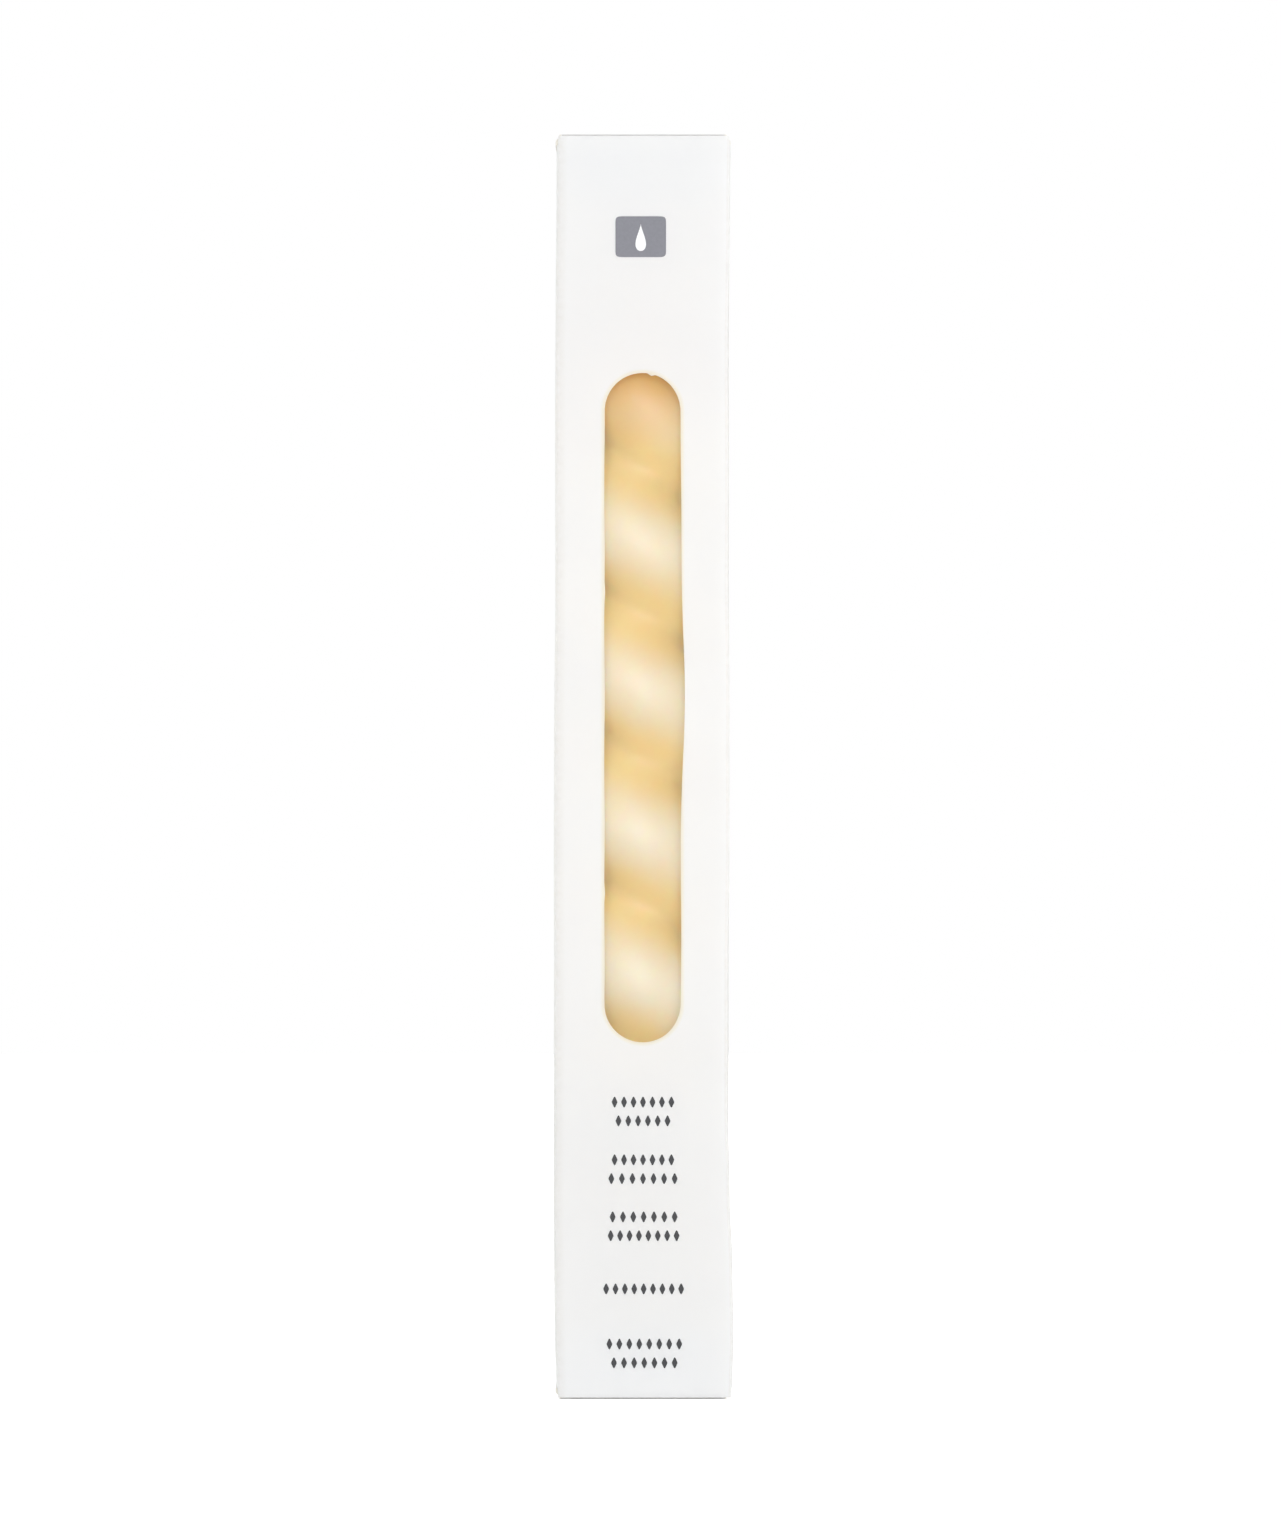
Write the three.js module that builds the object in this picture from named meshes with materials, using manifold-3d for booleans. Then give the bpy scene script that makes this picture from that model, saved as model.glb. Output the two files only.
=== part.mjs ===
// A spiral candle in its folding carton with a long window, as it is sold.
// Millimetres, +Z up, front towards -Y. The origin is the middle of the carton's base.
// The carton is one folded sheet of board: every panel between two creases is its own mesh.
import * as THREE from "three";
import { mergeVertices } from "three/addons/utils/BufferGeometryUtils.js";
import Module from "manifold-3d";

// Candle
const candleHeight = 185; // wax, from foot to tip
const candleDiameter = 24; // over the spiral's crests
const grooveDepth = 5; // from crest to groove
const grooveSoftness = 0.3; // 0 gives a sharp groove, more gives a rounder one
const pitch = 22.5; // height of one turn
const crestHeight = 63.3; // above the foot, where a crest faces the window
const crestTaper = 1.6; // how much thinner the spiral is where the tip begins
const footDiameter = 21;
const footHeight = 13;
const footChamfer = 0.8;
const shoulderLength = 10; // over which the round foot turns into the spiral
const tipLength = 44; // over which the spiral narrows to the wick
const tipPower = 1.6; // 1 gives a straight tip, more gives a fuller one
const tipWall = 1.25; // wax round the wick's bore at the very top
const wickDiameter = 2;
const wickStandOut = 6.2; // above the wax
const wickRecess = 0.4; // the wick's lower end above the foot's underside
const wickClearance = 0.25;

// Board, creases and clearances
const board = 0.45; // thickness of the folding boxboard
const creaseInside = 0.15; // inside radius of every crease
const candleClearance = 0.5; // between the candle and the innermost layer of board
const seatClearance = 0.3; // between the candle's foot and the flaps under it
const headClearance = 1.4; // between the wick and the flaps over it
const flapGap = 0.15; // between a lid and the dust flaps behind it

// Window
const windowWidth = 11.8;
const windowFromBase = 55; // board below the window
const windowFromTop = 36.8; // board above the window

// Glued seam
const glueFlapWidth = 11.5;
const glueFlapEndGap = 7; // the glue flap stops this far short of the side panel's ends
const glueFlapTaper = 15; // degrees, at both its ends
const seamGlue = 0.1; // thickness of the glue line
const seamGlueMargin = 2; // glue-free board along the flap's edges

// Tuck closures
const tongueLength = 11;
const tongueGap = 0.2; // between the tongue and the front panel
const tongueClearance = 0.55; // between the tongue's curled end and the candle's foot
const tongueSideGap = 0.3; // the tongue is this much narrower than the lid at each side
const tongueCorner = 5.5;
const lockSlit = 1.6; // length of the slit at each end of the tongue's crease
const lockSlitWidth = 0.25;
const flapMeetingGap = 1.8; // between the two dust flaps of an end
const flapEdgeGap = 0.5; // between a dust flap and the tongue in front of it
const flapShoulder = 2.6; // straight part of the flap's front edge
const flapFrontTaper = 12; // degrees
const flapRearTaper = 35; // degrees
const flapTipRadius = 1.6;

// Facets
const waxFacets = 24; // round the wax, and up one turn of its spiral
const wickSides = 12;
const creaseSteps = 3;
const cornerSteps = 8;
const windowSteps = 16;
const tongueSteps = 6;

// Sizes that follow
const creaseRadius = board + creaseInside; // outside radius of every crease
const boreRadius = wickDiameter / 2 + wickClearance;
const innerHalf = Math.max(
  candleDiameter / 2 + candleClearance + board + seamGlue,
  footDiameter / 2 + tongueClearance + board + tongueGap,
);
const outerHalf = innerHalf + board;
const flapLevel = board + flapGap; // depth of the dust flaps' outer face below the carton's end
const candleBottom = flapLevel + board + seatClearance;
const wickTop = candleBottom + candleHeight + wickStandOut;
const cartonHeight = wickTop + headClearance + board + flapLevel;
const lidWidth = 2 * (outerHalf - creaseRadius);
const tongueFace = innerHalf - tongueGap; // distance of the tongue's outer face from the middle
const tongueCurl = tongueFace - board - tongueClearance - footDiameter / 2; // bends in by this
const lidDepth = outerHalf + tongueFace;
const tongueWidth = lidWidth - 2 * tongueSideGap;
const flapLength = outerHalf - flapMeetingGap / 2;
const flapHalfWidth = tongueFace - board - flapEdgeGap;
const seamFace = innerHalf - seamGlue; // distance of the glue flap's outer face from the middle
const past = 1; // how far a cutting outline runs past what it trims

const whiteBoard = new THREE.MeshStandardMaterial({ color: 0xf6f6f4, roughness: 0.45 });
const bareBoard = new THREE.MeshStandardMaterial({ color: 0xdedbd4, roughness: 0.9 });
const clearGlue = new THREE.MeshStandardMaterial({ color: 0xe9e4d2, roughness: 0.3 });
const creamWax = new THREE.MeshStandardMaterial({ color: 0xf0dcae, roughness: 0.4 });
const whiteCotton = new THREE.MeshStandardMaterial({ color: 0xf4efe2, roughness: 0.95 });

const wasm = await Module();
wasm.setup();

const X = new THREE.Vector3(1, 0, 0);
const Y = new THREE.Vector3(0, 1, 0);
const Z = new THREE.Vector3(0, 0, 1);
const backwards = (axis) => axis.clone().negate();
const quarter = Math.PI / 2;
const slope = (degrees) => Math.tan((degrees * Math.PI) / 180);
const mix = (a, b, share) => a + (b - a) * share;
const smooth = (share) => share * share * (3 - 2 * share);
const shareOf = (value, from, to) => Math.min(1, Math.max(0, (value - from) / (to - from)));

// A closed geometry as a solid that can be joined and cut.
function toSolid(geometry) {
  const bare = geometry.clone();
  for (const name of Object.keys(bare.attributes)) {
    if (name !== "position") bare.deleteAttribute(name);
  }
  const merged = mergeVertices(bare, 1e-4);
  return new wasm.Manifold(
    new wasm.Mesh({
      numProp: 3,
      vertProperties: merged.attributes.position.array,
      triVerts: new Uint32Array(merged.index.array),
    }),
  );
}

function toGeometry(solid) {
  const mesh = solid.getMesh();
  const geometry = new THREE.BufferGeometry();
  const position = new Float32Array(mesh.vertProperties);
  geometry.setAttribute("position", new THREE.BufferAttribute(position, 3));
  geometry.setIndex(new THREE.BufferAttribute(new Uint32Array(mesh.triVerts), 1));
  geometry.computeVertexNormals();
  return geometry;
}

// A flat outline pushed out into a solid. The outline's own x runs along xTo and its own y
// along yTo, and the push goes along xTo cross yTo.
function prism(outline, depth, xTo, yTo, curveSegments = creaseSteps) {
  const settings = { depth, bevelEnabled: false, curveSegments };
  const geometry = new THREE.ExtrudeGeometry(outline, settings);
  const depthTo = new THREE.Vector3().crossVectors(xTo, yTo);
  geometry.applyMatrix4(new THREE.Matrix4().makeBasis(xTo, yTo, depthTo));
  return geometry;
}

// The mirror image of a closed geometry across the plane where x or z is 0.
function mirrored(geometry, axis) {
  const copy = geometry.clone();
  copy.scale(axis === "x" ? -1 : 1, 1, axis === "z" ? -1 : 1);
  const index = copy.index.array;
  for (let corner = 0; corner < index.length; corner += 3) {
    [index[corner + 1], index[corner + 2]] = [index[corner + 2], index[corner + 1]];
  }
  copy.computeVertexNormals();
  return copy;
}

// A panel of the top end as the same panel of the bottom end.
function atBottom(geometry) {
  const copy = mirrored(geometry, "z");
  copy.translate(0, 0, cartonHeight);
  return copy;
}

// The section of a panel across its creases. The panel's outer face lies on y = 0 with the
// board below it, from an outer corner at x = 0 to x = length. Where an end is creased, the
// panel has its half of the crease, up to the plane that halves the corner.
function panelSection(length, creasedStart, creasedEnd) {
  const shape = new THREE.Shape();
  const start = creaseRadius;
  const end = length - creaseRadius;
  const down = -creaseRadius;
  if (creasedStart) {
    shape.absarc(start, down, creaseInside, 1.5 * quarter, quarter, true);
  } else {
    shape.moveTo(0, -board);
  }
  if (creasedEnd) {
    shape.absarc(end, down, creaseInside, quarter, 0.5 * quarter, true);
    shape.absarc(end, down, creaseRadius, 0.5 * quarter, quarter, false);
  } else {
    shape.lineTo(length, -board);
    shape.lineTo(length, 0);
  }
  if (creasedStart) {
    shape.absarc(start, down, creaseRadius, quarter, 1.5 * quarter, false);
  } else {
    shape.lineTo(0, 0);
  }
  shape.closePath();
  return shape;
}

// A standing wall from x = 0 to x = width, with its outer face on y = 0 and facing -Y.
function wall(width, low, high, creasedStart, creasedEnd) {
  const section = panelSection(width, creasedStart, creasedEnd);
  const geometry = prism(section, high - low, X, backwards(Y));
  geometry.translate(0, 0, high);
  return geometry;
}

// The stretch of the same wall that carries a hinged panel at both its ends: from x = from
// to x = to, creased at the bottom and at the top.
function hingedStretch(from, to, low, high) {
  const section = panelSection(high - low, true, true);
  const geometry = prism(section, to - from, Z, backwards(Y));
  geometry.translate(from, 0, low);
  return geometry;
}

function windowOutline() {
  const length = cartonHeight - windowFromTop - windowFromBase;
  const radius = windowWidth / 2;
  const shape = new THREE.Shape();
  shape.absarc(0, radius, radius, 2 * quarter, 4 * quarter, false);
  shape.absarc(0, length - radius, radius, 0, 2 * quarter, false);
  shape.closePath();
  return shape;
}

function frontPanel() {
  const panel = wall(2 * outerHalf, 0, cartonHeight, true, true);
  panel.translate(-outerHalf, -outerHalf, 0);
  const opening = prism(windowOutline(), board + 2 * past, X, Z, windowSteps);
  opening.translate(0, past - innerHalf, windowFromBase);
  return toGeometry(toSolid(panel).subtract(toSolid(opening)));
}

// The back panel carries both lids. One of its edges is creased into the right panel, and
// the other is the sheet's cut edge.
function backPanel() {
  const body = wall(2 * outerHalf, creaseRadius, cartonHeight - creaseRadius, true, false);
  const stretch = hingedStretch(creaseRadius, creaseRadius + lidWidth, 0, cartonHeight);
  const geometry = toGeometry(toSolid(body).add(toSolid(stretch)));
  geometry.rotateZ(2 * quarter);
  geometry.translate(outerHalf, outerHalf, 0);
  return geometry;
}

// A side panel, still facing -Y. It carries a dust flap at both its ends, and flapFrom is
// where the flap's front or rear edge starts.
function sidePanel(width, flapFrom) {
  const low = flapLevel;
  const high = cartonHeight - flapLevel;
  const body = wall(width, low + creaseRadius, high - creaseRadius, true, true);
  const stretch = hingedStretch(flapFrom, flapFrom + 2 * flapHalfWidth, low, high);
  return toGeometry(toSolid(body).add(toSolid(stretch)));
}

function rightPanel() {
  const geometry = sidePanel(2 * outerHalf, outerHalf - flapHalfWidth);
  geometry.rotateZ(quarter);
  geometry.translate(outerHalf, -outerHalf, 0);
  return geometry;
}

// The left panel ends short of the back panel, so that the glue flap lies inside it.
function leftPanel() {
  const geometry = sidePanel(outerHalf + seamFace, seamFace - flapHalfWidth);
  geometry.rotateZ(-quarter);
  geometry.translate(-outerHalf, seamFace, 0);
  return geometry;
}

// The flap that closes the tube, folded in from the left panel.
function glueFlap() {
  const low = flapLevel + glueFlapEndGap;
  const high = cartonHeight - flapLevel - glueFlapEndGap;
  const strip = wall(glueFlapWidth, low, high, false, true);
  strip.rotateZ(2 * quarter);
  strip.translate(glueFlapWidth - outerHalf, seamFace, 0);
  const reach = glueFlapWidth + past;
  const rise = reach * slope(glueFlapTaper);
  const outline = new THREE.Shape();
  outline.moveTo(-past, low);
  outline.lineTo(0, low);
  outline.lineTo(reach, low + rise);
  outline.lineTo(reach, high - rise);
  outline.lineTo(0, high);
  outline.lineTo(-past, high);
  outline.closePath();
  const cutter = prism(outline, creaseRadius + 2 * past, X, Z);
  cutter.translate(-outerHalf, seamFace + past, 0);
  return toGeometry(toSolid(strip).intersect(toSolid(cutter)));
}

function glueLine() {
  const width = glueFlapWidth - creaseRadius - 2 * seamGlueMargin;
  const endGap = glueFlapEndGap + glueFlapWidth * slope(glueFlapTaper) + seamGlueMargin;
  const height = cartonHeight - 2 * (flapLevel + endGap);
  const geometry = new THREE.BoxGeometry(width, seamGlue, height);
  const middle = creaseRadius + seamGlueMargin + width / 2 - outerHalf;
  geometry.translate(middle, seamFace + seamGlue / 2, cartonHeight / 2);
  return geometry;
}

// The top lid, closed: creased to the back panel and to its own tongue, with a short slit
// at each end of the tongue's crease.
function lid() {
  const strip = prism(panelSection(lidDepth, true, true), lidWidth, Y, Z);
  strip.translate(-lidWidth / 2, -tongueFace, cartonHeight);
  let solid = toSolid(strip);
  for (const side of [-1, 1]) {
    const slit = new THREE.BoxGeometry(2 * lockSlit, lockSlitWidth, 2 * (board + past));
    slit.translate((side * lidWidth) / 2, creaseRadius - tongueFace, cartonHeight);
    solid = solid.subtract(toSolid(slit));
  }
  return toGeometry(solid);
}

// The section of the tongue down from its half of the crease. It bends in along a parabola.
function tongueSection() {
  const leg = tongueLength - creaseRadius;
  const legPoint = (face, share) => [
    face + tongueCurl * share * share,
    -creaseRadius - leg * share,
  ];
  const section = new THREE.Shape();
  section.absarc(creaseRadius, -creaseRadius, creaseRadius, 1.5 * quarter, 2 * quarter, false);
  for (let step = 1; step <= tongueSteps; step += 1) {
    section.lineTo(...legPoint(0, step / tongueSteps));
  }
  for (let step = tongueSteps; step >= 1; step -= 1) {
    section.lineTo(...legPoint(board, step / tongueSteps));
  }
  section.absarc(creaseRadius, -creaseRadius, creaseInside, 2 * quarter, 1.5 * quarter, true);
  section.closePath();
  return section;
}

// The tongue hangs from the lid's front crease, behind the front panel.
function tongue() {
  const strip = prism(tongueSection(), tongueWidth, Y, Z);
  strip.translate(-tongueWidth / 2, -tongueFace, cartonHeight);
  const side = tongueWidth / 2;
  const cornerUp = tongueCorner - tongueLength;
  const outline = new THREE.Shape();
  outline.moveTo(-side, past);
  outline.absarc(tongueCorner - side, cornerUp, tongueCorner, 2 * quarter, 3 * quarter, false);
  outline.absarc(side - tongueCorner, cornerUp, tongueCorner, 3 * quarter, 4 * quarter, false);
  outline.lineTo(side, past);
  outline.closePath();
  const cutter = prism(outline, board + tongueCurl + 2 * past, X, Z, cornerSteps);
  cutter.translate(0, board + tongueCurl + past - tongueFace, cartonHeight);
  return toGeometry(toSolid(strip).intersect(toSolid(cutter)));
}

// The outline of the left dust flap seen from above, from its hinge at x = 0. The rear edge
// slopes so that the flap can rise together with the lid over it.
function dustFlapOutline() {
  const front = -flapHalfWidth;
  const frontTip = front + (flapLength - flapShoulder) * slope(flapFrontTaper);
  const rearTip = flapHalfWidth - (flapLength - creaseRadius) * slope(flapRearTaper);
  const frontTurn = frontTip - flapTipRadius * slope(flapFrontTaper);
  const rearTurn = rearTip + flapTipRadius * slope(flapRearTaper);
  const outline = new THREE.Shape();
  outline.moveTo(-past, front);
  outline.lineTo(flapShoulder, front);
  outline.lineTo(flapLength - flapTipRadius, frontTurn);
  outline.quadraticCurveTo(flapLength, frontTip, flapLength, frontTip + flapTipRadius);
  outline.lineTo(flapLength, rearTip - flapTipRadius);
  outline.quadraticCurveTo(flapLength, rearTip, flapLength - flapTipRadius, rearTurn);
  outline.lineTo(creaseRadius, flapHalfWidth);
  outline.lineTo(-past, flapHalfWidth);
  outline.closePath();
  return outline;
}

function leftDustFlap() {
  const level = cartonHeight - flapLevel;
  const strip = prism(panelSection(flapLength, true, false), 2 * flapHalfWidth, X, Z);
  strip.translate(-outerHalf, flapHalfWidth, level);
  const cutter = prism(dustFlapOutline(), creaseRadius + 2 * past, X, Y);
  cutter.translate(-outerHalf, 0, level - creaseRadius - past);
  return toGeometry(toSolid(strip).intersect(toSolid(cutter)));
}

// How high the spiral's ridge stands, from 1 on its crest to 0 in the groove half a turn
// away: the size of a cosine, with its sharp lower end softened.
function ridge(phase) {
  const softened = Math.hypot(Math.cos(phase / 2), grooveSoftness) - grooveSoftness;
  return softened / (Math.hypot(1, grooveSoftness) - grooveSoftness);
}

// The radius of the wax at an angle round the axis and a height above the foot: round foot,
// shoulder, slightly tapering left-handed spiral and tip.
function waxRadius(angle, height) {
  const bodyStart = footHeight + shoulderLength;
  const tipStart = candleHeight - tipLength;
  const phase = angle + quarter + (4 * quarter * (height - crestHeight)) / pitch;
  const crest = candleDiameter / 2 - (crestTaper / 2) * shareOf(height, bodyStart, tipStart);
  const spiral = crest - grooveDepth * (1 - ridge(phase));
  const shoulder = smooth(shareOf(height, footHeight, bodyStart));
  const body = mix(footDiameter / 2, spiral, shoulder);
  const tip = shareOf(height, tipStart, candleHeight) ** tipPower;
  return mix(body, boreRadius + tipWall, tip);
}

// One level ring of wax, with a radius for each angle.
function waxRing(height, radiusAt) {
  const ring = [];
  for (let side = 0; side < waxFacets; side += 1) {
    const angle = (4 * quarter * side) / waxFacets;
    const radius = radiusAt(angle);
    ring.push([radius * Math.cos(angle), radius * Math.sin(angle), candleBottom + height]);
  }
  return ring;
}

// Rings joined each to the next, and the last to the first, into one closed skin. The edge
// across each facet leans the way the spiral climbs.
function closedLoft(rings) {
  const sides = rings[0].length;
  const index = [];
  for (let level = 0; level < rings.length; level += 1) {
    const here = level * sides;
    const next = ((level + 1) % rings.length) * sides;
    for (let side = 0; side < sides; side += 1) {
      const other = (side + 1) % sides;
      index.push(here + side, here + other, next + side);
      index.push(here + other, next + other, next + side);
    }
  }
  const geometry = new THREE.BufferGeometry();
  const position = new Float32Array(rings.flat(2));
  geometry.setAttribute("position", new THREE.BufferAttribute(position, 3));
  geometry.setIndex(index);
  geometry.computeVertexNormals();
  return geometry;
}

// Foot, spiral and tip in one skin, with the wick's bore down its axis.
function candleWax() {
  const levels = Math.round(((candleHeight - footHeight) / pitch) * waxFacets);
  const body = [];
  for (let level = 0; level <= levels; level += 1) {
    const height = mix(footHeight, candleHeight, level / levels);
    body.push(waxRing(height, (angle) => waxRadius(angle, height)));
  }
  return closedLoft([
    waxRing(0, () => boreRadius),
    waxRing(0, () => footDiameter / 2 - footChamfer),
    waxRing(footChamfer, () => footDiameter / 2),
    ...body,
    waxRing(candleHeight, () => boreRadius),
  ]);
}

function wick() {
  const low = candleBottom + wickRecess;
  const radius = wickDiameter / 2;
  const profile = [
    new THREE.Vector2(0, low),
    new THREE.Vector2(radius, low),
    new THREE.Vector2(radius, wickTop - radius / 2),
    new THREE.Vector2(radius / 2, wickTop),
    new THREE.Vector2(0, wickTop),
  ];
  const geometry = new THREE.LatheGeometry(profile, wickSides);
  geometry.rotateX(quarter);
  return geometry;
}

const packedCandle = new THREE.Group();

function place(name, geometry, material) {
  const mesh = new THREE.Mesh(geometry, material);
  mesh.name = name;
  packedCandle.add(mesh);
}

place("front_panel", frontPanel(), whiteBoard);
place("back_panel", backPanel(), whiteBoard);
place("left_panel", leftPanel(), whiteBoard);
place("right_panel", rightPanel(), whiteBoard);
place("glue_flap", glueFlap(), bareBoard);
place("seam_glue", glueLine(), clearGlue);

const closure = {
  lid: lid(),
  tongue: tongue(),
  left_dust_flap: leftDustFlap(),
  right_dust_flap: mirrored(leftDustFlap(), "x"),
};
for (const [name, geometry] of Object.entries(closure)) {
  place(`top_${name}`, geometry, whiteBoard);
  place(`bottom_${name}`, atBottom(geometry), whiteBoard);
}

place("candle_wax", candleWax(), creamWax);
place("wick", wick(), whiteCotton);

export default packedCandle;
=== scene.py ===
# %% [markdown]
# # A spiral candle in its window carton
# One folded sheet of white board makes a slim square tube, closed by a tuck-in lid at each
# end. Behind the long window with round ends stands a twisted candle of cream wax. The
# imported model gives the place of every part. Each piece below is worked out in millimetres
# from the same sizes and turned into metres; the sleeve, the candle and the print are tied
# to the body that they move with.

# %% Imported model
import math

import bpy
import numpy as np
from mathutils import Matrix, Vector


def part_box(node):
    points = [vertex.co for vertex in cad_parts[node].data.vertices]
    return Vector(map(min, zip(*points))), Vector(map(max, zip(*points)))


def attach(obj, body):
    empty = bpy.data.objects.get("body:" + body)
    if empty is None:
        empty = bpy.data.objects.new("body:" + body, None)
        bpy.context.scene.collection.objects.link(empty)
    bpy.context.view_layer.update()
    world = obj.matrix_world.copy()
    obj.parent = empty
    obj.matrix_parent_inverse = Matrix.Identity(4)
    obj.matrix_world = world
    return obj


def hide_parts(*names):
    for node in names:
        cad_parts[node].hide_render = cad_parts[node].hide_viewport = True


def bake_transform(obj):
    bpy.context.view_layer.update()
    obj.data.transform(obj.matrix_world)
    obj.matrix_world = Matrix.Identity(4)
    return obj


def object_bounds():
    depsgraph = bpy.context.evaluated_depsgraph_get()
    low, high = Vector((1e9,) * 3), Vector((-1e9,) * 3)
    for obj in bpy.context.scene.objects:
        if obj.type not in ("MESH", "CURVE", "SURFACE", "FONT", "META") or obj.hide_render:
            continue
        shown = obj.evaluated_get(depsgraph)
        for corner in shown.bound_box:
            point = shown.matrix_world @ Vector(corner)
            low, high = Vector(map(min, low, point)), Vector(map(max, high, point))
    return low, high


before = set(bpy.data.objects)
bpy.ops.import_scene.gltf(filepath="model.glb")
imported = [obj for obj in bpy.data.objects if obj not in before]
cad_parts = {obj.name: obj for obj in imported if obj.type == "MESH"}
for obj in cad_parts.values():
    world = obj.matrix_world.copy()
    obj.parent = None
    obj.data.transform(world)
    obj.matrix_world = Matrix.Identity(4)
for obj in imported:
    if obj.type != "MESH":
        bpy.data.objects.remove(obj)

cad_box = [list(corner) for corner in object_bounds()]
print("CAD box in mm:", np.round(np.array(cad_box) * 1000, 2).tolist())

# %% [markdown]
# ## The camera
# A long lens looks straight at the front of the carton, level and from far away, so that
# no side wall shows. Its frame is as tall as the picture's 1537 pixels at the scale of the
# carton's front face, and its place puts the carton where the picture has it.

# %% Camera
MM = 0.001
pixels_wide, pixels_tall = 1281, 1537
pixels_per_mm = 6.487
middle_across, middle_up = 643.0, 766.7  # pixel of the carton's middle, 97.5 mm up
camera_distance = 2500.0  # mm, from the front face
long_side = 36.0  # mm, of the camera's film

half, height = np.round(np.array(cad_box[1])[[0, 2]] / MM, 3)
camera_data = bpy.data.cameras.new("camera")
camera_data.sensor_fit = "AUTO"
camera_data.sensor_width = long_side
camera_data.lens = long_side * camera_distance / (pixels_tall / pixels_per_mm)
camera_data.clip_start, camera_data.clip_end = 0.1, 100.0
camera = bpy.data.objects.new("camera", camera_data)
bpy.context.scene.collection.objects.link(camera)
camera.location = (
    (pixels_wide / 2 - middle_across) / pixels_per_mm * MM,
    -(half + camera_distance) * MM,
    (height / 2 - (pixels_tall / 2 - middle_up) / pixels_per_mm) * MM,
)
camera.rotation_euler = (math.radians(90), 0, 0)
bpy.context.scene.camera = camera
print(f"carton {2 * half:.2f} wide and {height:.2f} mm tall, lens {camera_data.lens:.0f} mm")

# %% [markdown]
# ## Nodes and colours
# Colours are written as hex values, as a paint programme shows them. Blender mixes light in
# linear numbers, so one function turns the one into the other. One more function adds a
# node to a material with its settings and its links, and everything below uses only that.


# %% Colour and node helpers
def linear(hex_colour):
    """sRGB hex to linear: c / 12.92 up to c = 0.04045, else ((c + 0.055) / 1.055) ** 2.4."""
    srgb = np.array([int(hex_colour[i : i + 2], 16) for i in (1, 3, 5)]) / 255
    rgb = np.where(srgb <= 0.04045, srgb / 12.92, ((srgb + 0.055) / 1.055) ** 2.4)
    return (*rgb.tolist(), 1.0)


def add(tree, kind, sockets=None, **settings):
    """Adds a node. Each socket gets a value, or a link from the socket given for it."""
    node = tree.nodes.new("ShaderNode" + kind)
    for name, value in settings.items():
        setattr(node, name, value)
    for socket, value in (sockets or {}).items():
        if isinstance(value, bpy.types.NodeSocket):
            tree.links.new(value, node.inputs[socket])
        else:
            node.inputs[socket].default_value = value
    return node


def new_material(name, **plain):
    """A material with its principled surface, whose plain values are given by socket name."""
    material = bpy.data.materials.new(name)
    material.use_nodes = True
    surface = material.node_tree.nodes["Principled BSDF"]
    for socket, value in plain.items():
        surface.inputs[socket.replace("_", " ")].default_value = value
    return material, material.node_tree, surface


# %% [markdown]
# ## Texture helpers
# Board, wax and ink need the same few nodes: a noise with lumps of a known size, a colour
# between two others, a number brought into another range, and a fine relief. In the node
# editor these would be node groups. Here they are short functions, which take their sizes
# in millimetres, so that each material below reads as a list of what it shows.


# %% Texture helpers
def noise(tree, place, lump, detail, roughness=0.5):
    """Cloudy noise between 0 and 1, with lumps of about the given size in millimetres."""
    return add(tree, "TexNoise", {"Vector": place, "Scale": 1 / (lump * MM), "Detail": detail,
                                  "Roughness": roughness}).outputs[0]


def tinted(tree, share, one, other):
    """A colour between two, each of them a hex value or a socket, by the share of the other."""
    one, other = (linear(colour) if isinstance(colour, str) else colour
                  for colour in (one, other))
    return add(tree, "Mix", {0: share, 6: one, 7: other}, data_type="RGBA").outputs[2]


def ranged(tree, value, start, end, low, high, **settings):
    """Brings a value from the range start to end into the range low to high."""
    return add(tree, "MapRange", {0: value, 1: start, 2: end, 3: low, 4: high},
               **settings).outputs[0]


def relief(tree, height, strength, depth, under=None):
    """Bump of the given depth in millimetres, on top of the relief under it."""
    sockets = {"Height": height, "Strength": strength, "Distance": depth * MM}
    if under is not None:
        sockets["Normal"] = under
    return add(tree, "Bump", sockets).outputs[0]


def dress(tree, surface, **looks):
    """Links textures to the sockets of a surface, by name."""
    for socket, texture in looks.items():
        tree.links.new(texture, surface.inputs[socket.replace("_", " ")])


# %% [markdown]
# ## Light
# The picture was taken in a white tent: light comes from everywhere, a little more from the
# right than from the left. A photographed studio could light the scene, but a plain world
# and a few lamps are easier to balance. The world gives a third of the light. Five large
# soft boxes, hardly cooler than white, give the rest: the one in front lights the front
# wall, and those at the sides and behind shine through the thin board onto the wax. The
# camera and gloss see the world pure white, which changes nothing in how the carton is lit.


# %% World
def looked_at(tree):
    """1 for rays from the camera, off gloss or through glass, and 0 for those that light."""
    path = add(tree, "LightPath")
    seen = path.outputs["Is Camera Ray"]
    for kind in ("Is Glossy Ray", "Is Transmission Ray"):
        seen = add(tree, "Math", {0: seen, 1: path.outputs[kind]},
                   operation="MAXIMUM").outputs[0]
    return seen


tent_level = 0.3  # what the tent alone gives a white sheet, where 1 is plain white
world = bpy.data.worlds.new("white_tent")
bpy.context.scene.world = world
world.use_nodes = True
tree = world.node_tree
tree.nodes.clear()
tent = add(tree, "Background", {"Color": (1, 1, 1, 1), "Strength": tent_level})
backdrop = add(tree, "Background", {"Color": (1, 1, 1, 1), "Strength": 1.0})
both = add(tree, "MixShader", {0: looked_at(tree), 1: tent.outputs[0], 2: backdrop.outputs[0]})
add(tree, "OutputWorld", {"Surface": both.outputs[0]})
print(f"world: {tent_level} of plain white onto the carton, 1 to the camera")

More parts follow.
